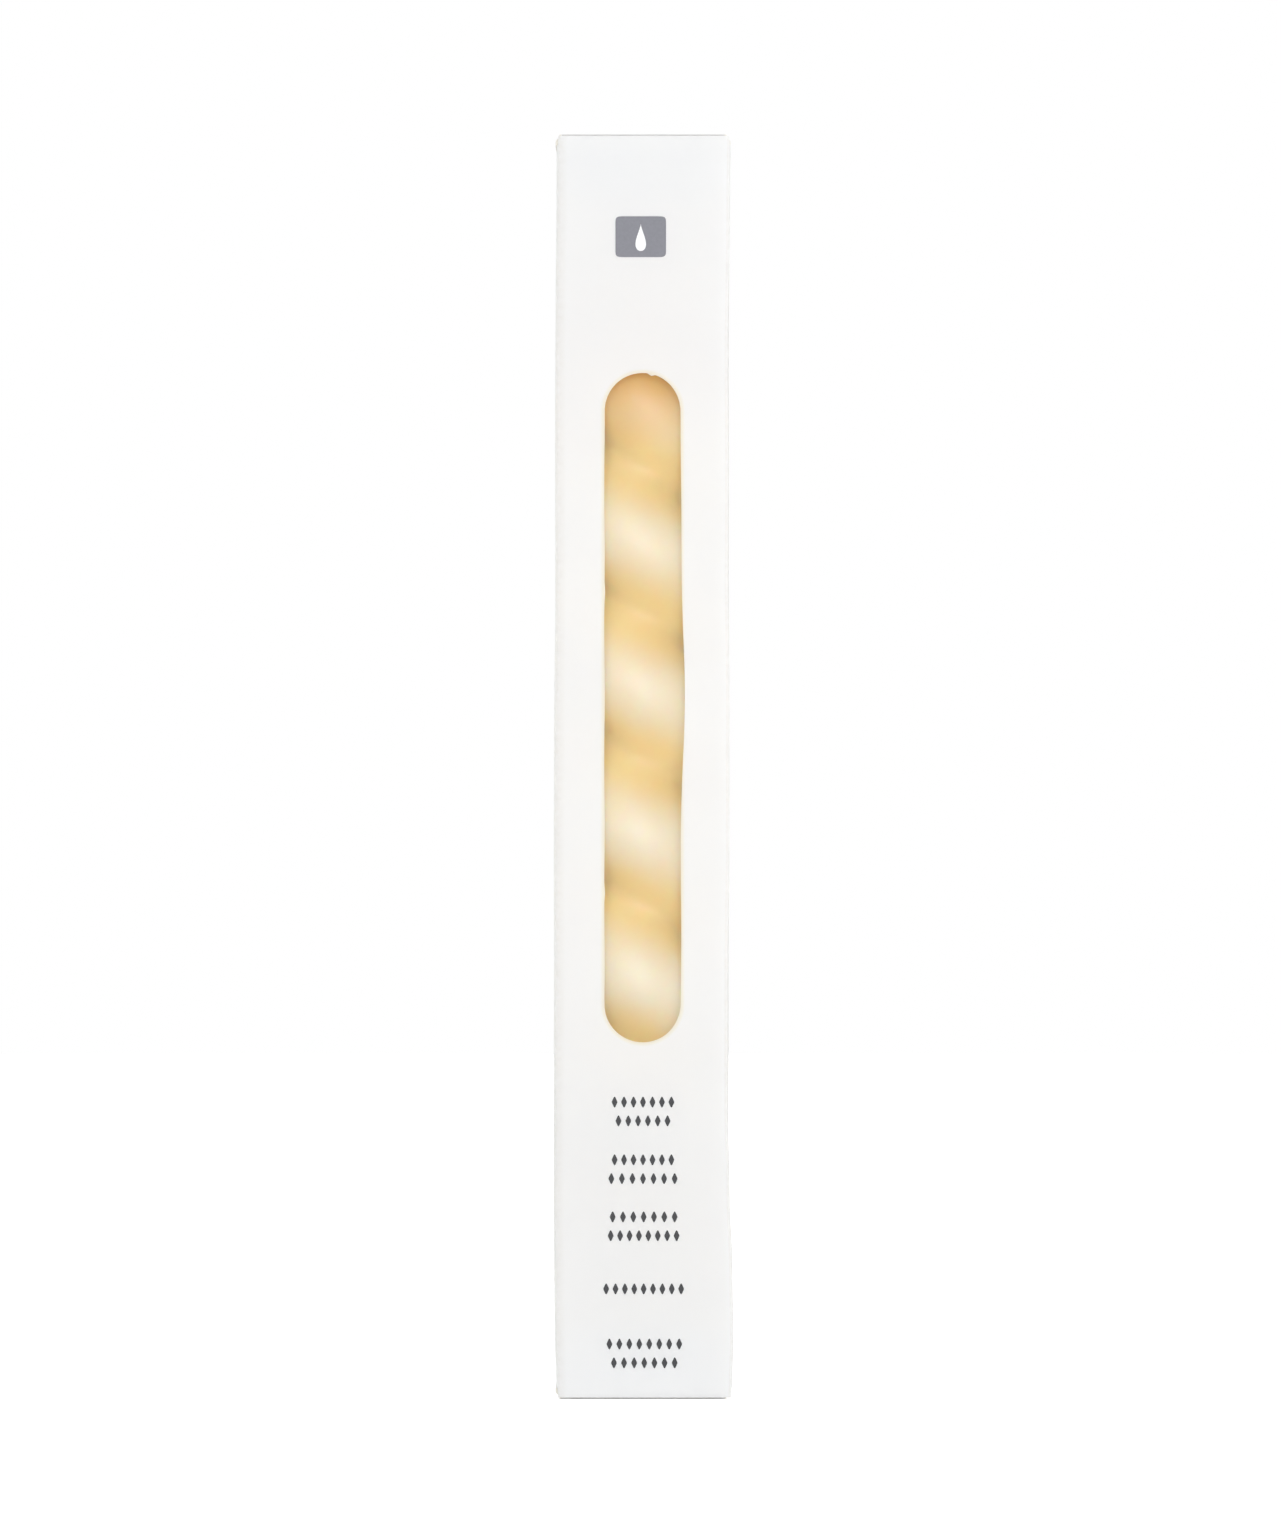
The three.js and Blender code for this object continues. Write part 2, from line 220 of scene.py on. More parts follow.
# %% Lamps
daylight = (0.966, 0.98, 1.0)
aimed_at = np.array((0, 0, 0.1))  # metres, the middle of the carton
for name, place, size, watts in (
    ("soft_box_front", (0.0, -2.4, 0.3), 0.7, 30.0),
    ("soft_box_above", (0.1, -0.6, 0.85), 0.5, 0.8),
    ("soft_box_rear", (-0.3, 2.3, 0.7), 0.9, 14.0),
    ("soft_box_right", (1.7, -0.4, 0.5), 0.9, 14.0),
    ("soft_box_left", (-1.7, 0.2, 0.5), 0.9, 11.5),
):
    lamp = bpy.data.lights.new(name, "AREA")
    lamp.size, lamp.energy = size, watts
    lamp.color = daylight
    lamp_object = bpy.data.objects.new(name, lamp)
    bpy.context.scene.collection.objects.link(lamp_object)
    lamp_object.location = place
    aim = aimed_at - np.array(place)
    lamp_object.rotation_euler = (
        math.acos(-aim[2] / np.linalg.norm(aim)), 0, math.atan2(aim[1], aim[0]) - math.pi / 2)
bpy.context.scene.view_settings.view_transform = "Standard"

# %% [markdown]
# ## Floor
# The carton stands on a white sweep, a sheet that curves up behind it. A curved sheet could
# be built, but here a flat one is enough, because its paint also glows to the camera and so
# joins the white of the world. The paint takes light as paper does, and the glow is weaker
# close to the carton, so the soft shadow stays where the carton touches the floor.

# %% Floor
floor_reach = 3.0  # metres to each side
floor_drop = 0.00002  # metres below the carton, so that the two never share a plane
near, far = 0.03, 0.4  # metres from the carton's middle
glow_near, glow_far = 0.62, 1.0
floor_mesh = bpy.data.meshes.new("floor")
corners = [(-floor_reach, -floor_reach, 0), (floor_reach, -floor_reach, 0),
           (floor_reach, floor_reach, 0), (-floor_reach, floor_reach, 0)]
floor_mesh.from_pydata(corners, [], [(0, 1, 2, 3)])
floor = bpy.data.objects.new("floor", floor_mesh)
floor.location = (0, 0, -floor_drop)
bpy.context.scene.collection.objects.link(floor)
material = bpy.data.materials.new("painted_studio_floor")
material.use_nodes = True
tree = material.node_tree
tree.nodes.clear()
spot = add(tree, "TexCoord")
away = add(tree, "VectorMath", {0: spot.outputs["Object"]}, operation="LENGTH")
level = ranged(tree, away.outputs["Value"], near, far, glow_near, glow_far)
glow = add(tree, "Math", {0: looked_at(tree), 1: level}, operation="MULTIPLY")
paint = add(tree, "BsdfDiffuse", {"Color": linear("#F2F2F2")})
white = add(tree, "Emission", {"Color": (1, 1, 1, 1), "Strength": glow.outputs[0]})
sum_of = add(tree, "AddShader", {0: paint.outputs[0], 1: white.outputs[0]})
add(tree, "OutputMaterial", {"Surface": sum_of.outputs[0]})
floor_mesh.materials.append(material)
print(f"floor {2 * floor_reach:.0f} m wide, {floor_drop / MM} mm below the carton")

# %% [markdown]
# ## Board, outside
# The carton is folding boxboard: grey-white pulp with a white clay coating on one side,
# smoothed between rollers and left unvarnished. It looks evenly white and dull. Up close
# the coating is faintly cloudy, and the pulp's fibres press a fine grain into it. Where the
# sheet is folded, the coating is stretched, so creases are a trace rougher. Round the
# window a thin warm tint is painted on: a painted reflection of the warm light that the
# cream wax throws back onto the board. The sheet is less than half a millimetre thick,
# so a part of the light goes through it. Subsurface scattering could do that, but in a
# shell this thin a translucent share in both of its faces gives the same at less cost, and
# it keeps the inside of the closed carton bright.

# %% Window place
window_width = 11.8
window_low, window_high = 55.0, height - 36.8
window_shift = -0.05  # mm sideways from the carton's middle
window_radius = window_width / 2
print(f"window from {window_low:.1f} to {window_high:.1f} mm up, {window_width:.1f} mm wide")


# %% Coated board
def glow_through(tree, surface, share):
    """Lets a share of the light pass through the face and scatter behind it."""
    passed = add(tree, "BsdfTranslucent", {"Color": (1, 1, 1, 1)})
    both = add(tree, "MixShader", {0: share, 1: surface.outputs[0], 2: passed.outputs[0]})
    tree.links.new(both.outputs[0], tree.nodes["Material Output"].inputs["Surface"])


coated, tree, surface = new_material("clay_coated_boxboard", IOR=1.5, Specular_IOR_Level=0.35)
spot = add(tree, "TexCoord").outputs["Object"]
cloud = noise(tree, spot, lump=9.0, detail=3.0, roughness=0.55)
tint = tinted(tree, cloud, "#F5F6F8", "#FAFBFC")

# %% Painted reflection of the wax round the window
# Distance to the window's edge: that to the line between the centres of its round ends,
# less its radius.
painted_reflection_start, painted_reflection_end, painted_reflection_strength = 0.05, 0.75, 0.75  # mm from the edge, and how strong it is
up = add(tree, "SeparateXYZ", {0: spot}).outputs[2]
level = add(tree, "Clamp", {0: up, 1: (window_low + window_radius) * MM,
                            2: (window_high - window_radius) * MM})
nearest = add(tree, "CombineXYZ", {0: window_shift * MM, 1: -half * MM, 2: level.outputs[0]})
gap = add(tree, "VectorMath", {0: spot, 1: nearest.outputs[0]}, operation="DISTANCE")
# Painted reflection: the coating turns warm near the window's edge, as if lit by the cream wax.
painted_reflection = ranged(tree, gap.outputs["Value"], (window_radius + painted_reflection_start) * MM,
                (window_radius + painted_reflection_end) * MM, painted_reflection_strength, 0.0, interpolation_type="SMOOTHSTEP")
tint = tinted(tree, painted_reflection, tint, "#F3EBD2")

# %% Rubbed creases and grain
fold = add(tree, "Attribute", attribute_name="crease")
patches = noise(tree, spot, lump=0.8, detail=4.0)
rub = add(tree, "Math", {0: patches, 1: fold.outputs["Fac"]}, operation="MULTIPLY").outputs[0]
fibres = noise(tree, spot, lump=0.35, detail=3.0, roughness=0.6)
grain = relief(tree, fibres, strength=0.10, depth=0.02)
dress(tree, surface, Base_Color=tinted(tree, rub, tint, "#E9E8E5"),
      Roughness=ranged(tree, rub, 0, 1, 0.50, 0.72),
      Normal=relief(tree, cloud, strength=0.25, depth=0.10, under=grain))
glow_through(tree, surface, 0.28)
print("material:", coated.name)

# %% [markdown]
# ## Board, inside and edge
# The reverse of the sheet has no coating: it is pulp, slightly cream and hairy. Hairs could
# be modelled, but at a few hundredths of a millimetre a relief shows the same. The fibres
# lie along the carton, so the noise is squeezed across and stretched up. A cut edge shows
# the sheet's layers as a soft, dull, slightly warmer line.

# %% Bare board and cut edge
bare, tree, surface = new_material(
    "uncoated_pulp_reverse", Roughness=0.85, IOR=1.5, Specular_IOR_Level=0.25)
spot = add(tree, "TexCoord").outputs["Object"]
along = add(tree, "Mapping", {0: spot, 3: (1.0, 1.0, 0.16)}).outputs[0]
fibre = noise(tree, along, lump=0.30, detail=5.0, roughness=0.65)
fleck = ranged(tree, fibre, 0.35, 0.7, 0, 1)
dress(tree, surface, Base_Color=tinted(tree, fleck, "#F3EAD6", "#FAF3E4"),
      Normal=relief(tree, fibre, strength=0.35, depth=0.06))
glow_through(tree, surface, 0.5)

cut_edge, tree, surface = new_material("die_cut_board_edge", Roughness=0.9, IOR=1.5,
                                       Specular_IOR_Level=0.2)
layers = noise(tree, add(tree, "TexCoord").outputs["Object"], lump=0.16, detail=2.0)
dress(tree, surface, Base_Color=tinted(tree, layers, "#E9E5DA", "#F6F3EC"),
      Normal=relief(tree, layers, strength=0.5, depth=0.05))
board_faces = (coated, bare, cut_edge)
print("materials:", bare.name, cut_edge.name)

# %% [markdown]
# ## Surfaces on a grid
# The pieces could be pushed into shape by hand, but every one of them follows a rule, so
# each is a surface with two parameters: rows one way, columns the other. The points are one
# numpy array, and the cells between them become faces. A sheet of board gets its thickness
# from a Solidify modifier, which also gives the reverse and the cut edge their own
# materials, and a very small Bevel takes the sharpness off the cut.


# %% Mesh helpers
def smooth(value, start, end):
    """Rises from 0 at start to 1 at end, level at both: 3 t squared less 2 t cubed."""
    share = np.clip((value - start) / (end - start), 0, 1)
    return share * share * (3 - 2 * share)


def cells(rows, columns, wrap_rows=False, wrap_columns=False):
    """The cells of a grid as quads of point numbers, in an array by row and column.

    A cell runs from its first point one row on, then one column on, and back, so its
    face looks along (direction of the rows) cross (direction of the columns)."""
    row, column = np.meshgrid(np.arange(rows - (not wrap_rows)),
                              np.arange(columns - (not wrap_columns)), indexing="ij")
    corners = ((row, column), (row + 1, column), (row + 1, column + 1), (row, column + 1))
    return np.stack([r % rows * columns + c % columns for r, c in corners], axis=-1)


def grid(x, y, z):
    """Points from x, y and z, each of them one number, a row, a column or a full grid."""
    return np.stack(np.broadcast_arrays(x, y, z), axis=-1)


def new_piece(name, points, faces, materials):
    """A mesh object from points in millimetres and faces of point numbers."""
    mesh = bpy.data.meshes.new(name)
    mesh.from_pydata(np.reshape(points, (-1, 3)).tolist(), [],
                     faces if isinstance(faces, list) else np.reshape(faces, (-1, 4)).tolist())
    piece = bpy.data.objects.new(name, mesh)
    bpy.context.scene.collection.objects.link(piece)
    for material in materials:
        mesh.materials.append(material)
    return piece


def finish_mesh(piece, sharp_over=25):
    """Turns the modifiers into mesh and millimetres into metres, and smooths soft edges."""
    mesh = bpy.data.meshes.new_from_object(
        piece.evaluated_get(bpy.context.evaluated_depsgraph_get()))
    piece.modifiers.clear()
    piece.data = mesh
    mesh.transform(Matrix.Scale(MM, 4))
    mesh.shade_smooth()
    mesh.set_sharp_from_angle(angle=math.radians(sharp_over))
    mesh.name = piece.name
    print(f"{piece.name}: {len(mesh.vertices)} points, {len(mesh.polygons)} faces")
    return piece


board = 0.45  # mm, thickness of the sheet
crease = 0.6  # mm, outside radius of every fold
crease_cells = 8
edge_softness = 0.05  # mm


def board_piece(name, points, faces, folded):
    """A piece of the sheet from its outer face. folded is 1 on creases and 0 on flat board."""
    piece = new_piece(name, points, faces, board_faces)
    mark = piece.data.attributes.new("crease", "FLOAT", "POINT")
    mark.data.foreach_set("value", np.ravel(folded).astype(np.float32))
    wall = piece.modifiers.new("wall", "SOLIDIFY")
    wall.thickness, wall.offset, wall.use_even_offset = board, -1, True
    wall.material_offset, wall.material_offset_rim = 1, 2
    worn = piece.modifiers.new("worn_edge", "BEVEL")
    worn.width, worn.segments, worn.limit_method = edge_softness, 2, "ANGLE"
    worn.angle_limit = math.radians(50)
    return finish_mesh(piece)


# %% [markdown]
# ## The sleeve's plan
# Seen from above, the sheet starts at its cut edge on the back, goes round all four
# corners and ends in the glue flap inside the back. Every corner is a quarter circle. The
# sheet is cut at a different height over each wall: the front ends a quarter of a
# millimetre short of the lids' faces, which leaves a fine dark line where the carton
# stands, and the back and the sides leave room for the lids and the dust flaps folded from
# them.

# %% Plan of the sleeve
seam_face = 12.95  # outer face of the glue flap
flap_end = -2.0  # how far the glue flap reaches
flat = half - crease  # where the flat part of a wall ends
block_half = 8.4  # of the rectangle round the window
block_left, block_right = window_shift - block_half, window_shift + block_half
# How far below the carton's end each wall is cut:
front_cut, back_cut, side_cut, flap_cut = 0.25, 1.1, 1.7, 7.6
flap_slope = math.tan(math.radians(15))


def straight(start, end, count):
    """Even steps from start towards end, without the end itself."""
    share = np.arange(count)[:, None] / count
    return np.array(start) + (np.array(end) - np.array(start)) * share


def corner(centre_x, centre_y, from_angle):
    """A quarter circle, clockwise from above: centre + radius times (cos, sin)."""
    angle = np.radians(from_angle - 90 * np.arange(crease_cells) / crease_cells)
    return np.stack([centre_x + crease * np.cos(angle), centre_y + crease * np.sin(angle)], 1)


runs = [  # stretch in plan and its cells, cut at its start and at its end, creased or not
    (straight((-half, half), (flat, half), 22), back_cut, back_cut, 0),
    (corner(flat, flat, 90), back_cut, side_cut, 1),
    (straight((half, flat), (half, -flat), 20), side_cut, side_cut, 0),
    (corner(flat, -flat, 0), side_cut, front_cut, 1),
    (straight((flat, -half), (block_right, -half), 4), front_cut, front_cut, 0),
    (straight((block_right, -half), (block_left, -half), 18), front_cut, front_cut, 0),
    (straight((block_left, -half), (-flat, -half), 4), front_cut, front_cut, 0),
    (corner(-flat, -flat, -90), front_cut, side_cut, 1),
    (straight((-half, -flat), (-half, seam_face - crease), 20), side_cut, side_cut, 0),
    (corner(-flat, seam_face - crease, 180), side_cut, flap_cut, 1),
    (straight((-flat, seam_face), (flap_end, seam_face), 9), flap_cut, flap_cut, 0),
]
plan = np.concatenate([run for run, *_ in runs] + [[(flap_end, seam_face)]])
cut = np.concatenate([np.where(np.arange(len(run)) * 2 < len(run), start, end)
                      for run, start, end, _ in runs] + [[flap_cut]]).astype(float)
creased = np.concatenate([np.full(len(run), float(fold)) for run, *_, fold in runs] + [[0.0]])
flap_columns = len(runs[-1][0]) + 1
on_flap = np.arange(len(plan)) >= len(plan) - flap_columns
cut = cut + on_flap * (plan[:, 0] + half) * flap_slope
first_column = sum(len(run) for run, *_ in runs[:5])
last_column = first_column + len(runs[5][0])
print(f"plan of {len(plan)} points, window block between columns {first_column} and {last_column}")

# %% [markdown]
# ## How the board has bowed
# No carton is dead straight once it has been filled and handled. Both front creases bow by
# up to half a millimetre, as their outline against the white shows, and the front wall
# bulges a little. A lattice could bend the finished box. Here one function moves the points
# instead, so that the print can follow the same bulge.

# %% Bow of the walls
left_bow = np.array([  # height, mm to the right of where a straight crease would be
    (0, 0.16), (3, 0.12), (9, -0.09), (16, -0.2), (31, -0.31), (46, -0.3), (62, -0.2),
    (85, -0.24), (102, -0.2), (125, -0.02), (154, -0.06), (170, 0.05), (185, 0.17),
    (195, 0.2)])
right_bow = np.array([
    (0, 0.2), (3, 0.3), (9, 0.46), (20, 0.34), (31, -0.08), (46, -0.42), (66, -0.42),
    (86, -0.18), (110, -0.18), (127, -0.36), (142, -0.3), (160, -0.38), (184, -0.12),
    (195, 0)])
left_start, right_start, bow_full = 7.0, 7.5, 13.2  # mm from the middle, where the bow sets in
rear_loss = 0.6  # share of the bow that is lost towards the back
bulge_depth, bulge_start, bulge_full = 0.12, 12.5, 13.4  # mm, the last two from the axis
print(f"creases bow by up to {np.abs(left_bow[:, 1]).max()} and {np.abs(right_bow[:, 1]).max()} mm")


def through(knots, level):
    """A curve through the knots, level at each of them, by smooth steps in between."""
    right = np.clip(np.searchsorted(knots[:, 0], level), 1, len(knots) - 1)
    before, after = knots[right - 1], knots[right]
    return before[..., 1] + (after[..., 1] - before[..., 1]) * smooth(
        level, before[..., 0], after[..., 0])


def bowed(points):
    """Moves the sleeve's points sideways and in depth, most at the front creases.

    Sideways: bow(z) times how near the point is to that side, less towards the back.
    In depth: the front bulges by a sine over the height and a parabola over the width."""
    x, y, z = np.moveaxis(np.asarray(points, float), -1, 0)
    front = 1 - rear_loss * smooth(y, -half, half)
    side = (through(left_bow, z) * smooth(-x, left_start, bow_full)
            + through(right_bow, z) * smooth(x, right_start, bow_full))
    rise = np.sin(np.pi * np.clip(z / height, 0, 1))
    bulge = bulge_depth * rise * (1 - np.clip(x / half, -1, 1) ** 2)
    deeper = y - bulge * smooth(-y, bulge_start, bulge_full)
    return grid(x + side * front, deeper, z)


# %% [markdown]
# ## The sleeve with its window
# A die stamps the window out of the flat sheet. A boolean cut could do that, but it leaves
# long thin faces that shade badly. So the grid of the sleeve has a rectangle left out of
# its front, and a ring of faces fills the space between that rectangle and the window: each
# loop of the ring is a mix of the rectangle's outline and the window's. The die was not
# quite new: the right edge swells by over half a millimetre near the middle, the left edge
# has two small nicks, and a tag of board hangs in the top.

# %% Grid of the sleeve
rows = 130  # of 1.5 mm over the full height
first_row, last_row = 35, 107  # of the rectangle round the window
share_up = np.arange(rows + 1)[:, None] / rows
level = cut + (height - 2 * cut) * share_up
shape = grid(plan[:, 0], plan[:, 1], level)
quads = cells(rows + 1, len(plan))
kept = np.ones(quads.shape[:2], bool)
kept[first_row:last_row, first_column:last_column] = False
print(f"{kept.sum()} of {kept.size} faces kept round the window")

# %% Window edge
up = np.arange(first_row, last_row)
across = np.arange(first_column, last_column)
edge_rows = np.concatenate([up, np.full(len(across), last_row), up[::-1] + 1,
                            np.full(len(across), first_row)])
edge_columns = np.concatenate([np.full(len(up), first_column), across,
                               np.full(len(up), last_column), across[::-1] + 1])
outline = shape[edge_rows, edge_columns]
x, z = outline[:, 0], outline[:, 2]
axis_z = np.clip(z, window_low + window_radius, window_high - window_radius)
away = np.stack([x - window_shift, z - axis_z], 1)
away /= np.linalg.norm(away, axis=1)[:, None]
window_edge = grid(window_shift + window_radius * away[:, 0], -half,
                   axis_z + window_radius * away[:, 1])

# %% Wear of the cut
wear_start, wear_full = 3, 5.5  # mm from the window's middle, where the wear sets in
tag_x, tag_drop = 1.4, 0.30  # mm sideways from the carton's middle, and how far it hangs


def bell(z, level, size, reach):
    """A bell curve over the height: size times e to the power -((z - level) / reach) ** 2."""
    return size * np.exp(-(((z - level) / reach) ** 2))


def ripple(z, size, mm_per_radian):
    """A fine wave over the height."""
    return size * np.sin(z / mm_per_radian)


def die_wear(points):
    """How far the cut strays sideways: a swell on the right, two nicks on the left, ripples."""
    x, z = points[:, 0], points[:, 2]
    right = smooth(x, window_shift + wear_start, window_shift + wear_full)
    swell = bell(z, level=110, size=0.58, reach=14) + ripple(z, size=0.06, mm_per_radian=5.1)
    left = smooth(-x, wear_start - window_shift, wear_full - window_shift)
    nicks = bell(z, level=124.0, size=0.16, reach=0.8) + bell(z, level=77.7, size=0.14, reach=0.8)
    return right * swell + left * (nicks + ripple(z, size=0.03, mm_per_radian=3.3))


window_edge[:, 0] += die_wear(window_edge)
tag = np.argmin(np.hypot(window_edge[:, 0] - tag_x, window_edge[:, 2] - window_high))
window_edge[tag, 2] -= tag_drop
print(f"window {np.ptp(window_edge[:, 0]):.2f} x {np.ptp(window_edge[:, 2]):.2f} mm")

# %% Sleeve
mixes = (0.6, 0.3, 0.12, 0.04, 0.0)  # share of the rectangle in each loop of the ring
loops = np.stack([window_edge + (outline - window_edge) * share for share in mixes])
count = len(outline)
ring_numbers = np.concatenate([(edge_rows * len(plan) + edge_columns)[None],
                               (rows + 1) * len(plan) + np.arange(loops.shape[0] * count)
                               .reshape(-1, count)])
after = np.roll(ring_numbers, -1, axis=1)
ring = np.stack([ring_numbers[:-1], after[:-1], after[1:], ring_numbers[1:]], axis=-1)

points = bowed(np.concatenate([shape.reshape(-1, 3), loops.reshape(-1, 3)]))
faces = np.concatenate([quads[kept], ring.reshape(-1, 4)])
folded = np.concatenate([np.broadcast_to(creased, level.shape).ravel(),
                         np.zeros(loops.shape[0] * count)])
used = np.unique(faces)
renumber = np.zeros(len(points), int)
renumber[used] = np.arange(len(used))
sleeve = board_piece("folded_sleeve", points[used], renumber[faces], folded[used])
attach(sleeve, "carton_sleeve")
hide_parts("front_panel", "back_panel", "left_panel", "right_panel", "glue_flap")

# %% [markdown]
# ## Lids, tongues and dust flaps
# These are cut from the same sheet and folded over. A bend modifier could fold a flat
# panel, but a path gives each crease its true radius. So each is a ruled surface: a path
# that goes up the wall, round a quarter circle and along the lid, and at every place on it
# a straight line across, as wide as the outline is there. The bottom end is the top end
# mirrored, and a mirrored face is read the other way round so that it still faces outward.


# %% Ruled sheets
def over_the_edge(wall_x, edge_z, start_below, end_x, steps):
    """A path up a wall at wall_x, round a crease and level at edge_z to end_x.

    Both wall_x and end_x are distances in the fold's own direction, and the path is an
    array of (distance, height) with 1 where it is creased."""
    inward = np.sign(end_x - wall_x)
    angle = np.radians(90 * np.arange(1, crease_cells) / crease_cells)
    bend = np.stack([wall_x + inward * crease * (1 - np.cos(angle)),
                     edge_z - crease + crease * np.sin(angle)], 1)
    level = np.stack([wall_x + inward * crease
                      + (end_x - wall_x - inward * crease) * np.asarray(steps),
                      np.full(len(steps), edge_z)], 1)
    wall = [(wall_x, edge_z - crease - start_below), (wall_x, edge_z - crease)]
    folded = np.concatenate([[0, 1], np.ones(len(bend)), [1], np.zeros(len(steps) - 1)])
    return np.concatenate([wall, bend, level]), folded


def ruled(path, first, last, shares):
    """Rows along the path, columns from first to last: (distance, across, height)."""
    across = first[:, None] + (last - first)[:, None] * shares
    return grid(path[:, :1], across, path[:, 1:])


def fold_out(name, points, quads, folded, swap, mirror_x, mirror_z):
    """Puts a ruled sheet in place: swap gives (across, distance), mirrors flip x or z."""
    points = points[..., [1, 0, 2]] if swap else points.copy()
    flip = False
    if mirror_x:
        points[..., 0] *= -1
        flip = not flip
    if mirror_z:
        points[..., 2] = height - points[..., 2]
        flip = not flip
    quads = quads.reshape(-1, 4)
    return board_piece(name, points, quads[:, ::-1] if flip else quads,
                       np.broadcast_to(folded[:, None], points.shape[:2]))


# %% Lid outline
wall_lap = 0.5  # mm of straight board kept on both sides of a crease
lid_half = half - crease
tongue_face = 12.85  # outer face of the tongue
lid_end = -tongue_face + crease + wall_lap
lid_shares = np.linspace(0, 1, 23)
lid_path, lid_folded = over_the_edge(half, height, wall_lap, lid_end, np.linspace(0, 1, 24))
lid_points = ruled(lid_path, np.full(len(lid_path), -lid_half),
                   np.full(len(lid_path), lid_half), lid_shares)
print(f"lid {2 * lid_half:.1f} mm wide, {len(lid_path)} rows of {len(lid_shares)} points")

# %% Tongue outline
# The tongue starts on the lid, goes round its own crease and down, and curls in along a
# parabola: distance = face + curl times the square of the share of its length.
tongue_half, tongue_length, tongue_round, tongue_curl = 12.6, 11.0, 5.5, 1.35
slit_length, slit_width = 1.6, 0.25
angle = np.radians(90 * np.arange(crease_cells + 1) / crease_cells)
leg = np.sin(np.linspace(0, math.pi / 2, 19)[1:])
leg_length = tongue_length - crease
tongue_path = np.concatenate([
    [(lid_end, height), (-tongue_face + crease + slit_width / 2, height)],
    np.stack([-tongue_face + crease * (1 - np.sin(angle)),
              height - crease + crease * np.cos(angle)], 1),
    np.stack([-tongue_face + tongue_curl * leg**2, height - crease - leg_length * leg], 1)])
depth = height - tongue_path[:, 1]
rounding = np.sqrt(np.clip(
    tongue_round**2 - np.clip(depth - tongue_length + tongue_round, 0, None) ** 2, 0, None))
tongue_edge = np.where(depth > tongue_length - tongue_round,
                       tongue_half - tongue_round + rounding, tongue_half)
tongue_edge[:2] = lid_half
slit_share = slit_length / (2 * lid_half)
tongue_shares = np.concatenate([[0], np.linspace(slit_share, 1 - slit_share, 21), [1]])
tongue_points = ruled(tongue_path, -tongue_edge, tongue_edge, tongue_shares)
tongue_quads = cells(len(tongue_path), len(tongue_shares))
open_cells = np.ones(tongue_quads.shape[:2], bool)
open_cells[1:3, [0, -1]] = False
tongue_quads = tongue_quads[open_cells]
tongue_folded = np.concatenate([[0, 1], np.ones(len(angle)), np.zeros(len(leg))])
print(f"tongue {2 * tongue_half:.1f} mm wide and {tongue_length:.1f} mm long")

# %% Dust flap outline
flap_level, flap_long, flap_half = 0.6, 12.6, 11.9
shoulder, tip_round = 2.6, 1.6
front_slope, rear_slope = math.tan(math.radians(12)), math.tan(math.radians(35))
tip_steps = flap_long - tip_round * (1 - np.linspace(0, 1, 7)[1:]) ** 2
flat_steps = np.concatenate([np.linspace(crease, flap_long - tip_round, 10), tip_steps])
share_steps = (flat_steps - crease) / (flap_long - crease)
flap_path, flap_folded = over_the_edge(-half, height - flap_level, wall_lap,
                                       flap_long - half, share_steps)
reach = flap_path[:, 0] + half
front_tip = -flap_half + (flap_long - shoulder) * front_slope
rear_tip = flap_half - (flap_long - crease) * rear_slope
# Both free corners are quadratic curves, with t found from how far out the point is.
t = 1 - np.sqrt(np.clip((flap_long - reach) / tip_round, 0, 1))
front_curve = ((1 - t) ** 2 * (front_tip - tip_round * front_slope)
               + 2 * t * (1 - t) * front_tip + t**2 * (front_tip + tip_round))
rear_curve = ((1 - t) ** 2 * (rear_tip + tip_round * rear_slope)
              + 2 * t * (1 - t) * rear_tip + t**2 * (rear_tip - tip_round))
in_tip = reach > flap_long - tip_round
flap_front = np.where(in_tip, front_curve,
                      -flap_half + np.clip(reach - shoulder, 0, None) * front_slope)
flap_rear = np.where(in_tip, rear_curve,
                     flap_half - np.clip(reach - crease, 0, None) * rear_slope)
flap_shares = np.linspace(0, 1, 19)
flap_points = ruled(flap_path, flap_front, flap_rear, flap_shares)
print(f"dust flap {2 * flap_half:.1f} mm wide at its crease and {flap_long:.1f} mm long")


# %% Closures of both ends
def crease_ends(swap, mirror_x, mirror_z, first, last):
    """Start and end of a bend as (distance, height), put in place like its piece, in metres."""
    placed = []
    for distance, level in (first, last):
        point = [0.0, distance, level] if swap else [distance, 0.0, level]
        point[0] *= -1 if mirror_x else 1
        point[2] = height - point[2] if mirror_z else point[2]
        placed.append(tuple(value * MM for value in point))
    return placed


for end, mirror_z in (("top", False), ("bottom", True)):
    lid = fold_out(f"{end}_tuck_lid", lid_points, cells(len(lid_path), len(lid_shares)),
                   lid_folded, True, False, mirror_z)
    start, stop = crease_ends(True, False, mirror_z, (half, height - crease),
                              (half - crease, height))
    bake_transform(lid)
    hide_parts(f"{end}_lid")

    tongue = fold_out(f"{end}_curled_tongue", tongue_points, tongue_quads, tongue_folded,
                      True, False, mirror_z)
    start, stop = crease_ends(True, False, mirror_z, (-tongue_face + crease, height),
                              (-tongue_face, height - crease))
    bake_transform(tongue)
    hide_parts(f"{end}_tongue")

    for side, mirror_x in (("left", False), ("right", True)):
        flap = fold_out(f"{end}_{side}_folded_flap", flap_points,
                        cells(len(flap_path), len(flap_shares)), flap_folded, False,
                        mirror_x, mirror_z)
        level = height - flap_level
        start, stop = crease_ends(False, mirror_x, mirror_z, (-half, level - crease),
                                  (-half + crease, level))
        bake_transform(flap)
        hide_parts(f"{end}_{side}_dust_flap")

# %% [markdown]
# ## Glue in the seam
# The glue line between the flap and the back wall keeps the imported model's own shape, as
# it is only a thin film that nobody sees. Dispersion glue dries clear with a trace of milk,
# and slightly glossy. Glass could do that, but would bend the light. A low alpha lets it
# straight through, so the seam hardly shows against the light.

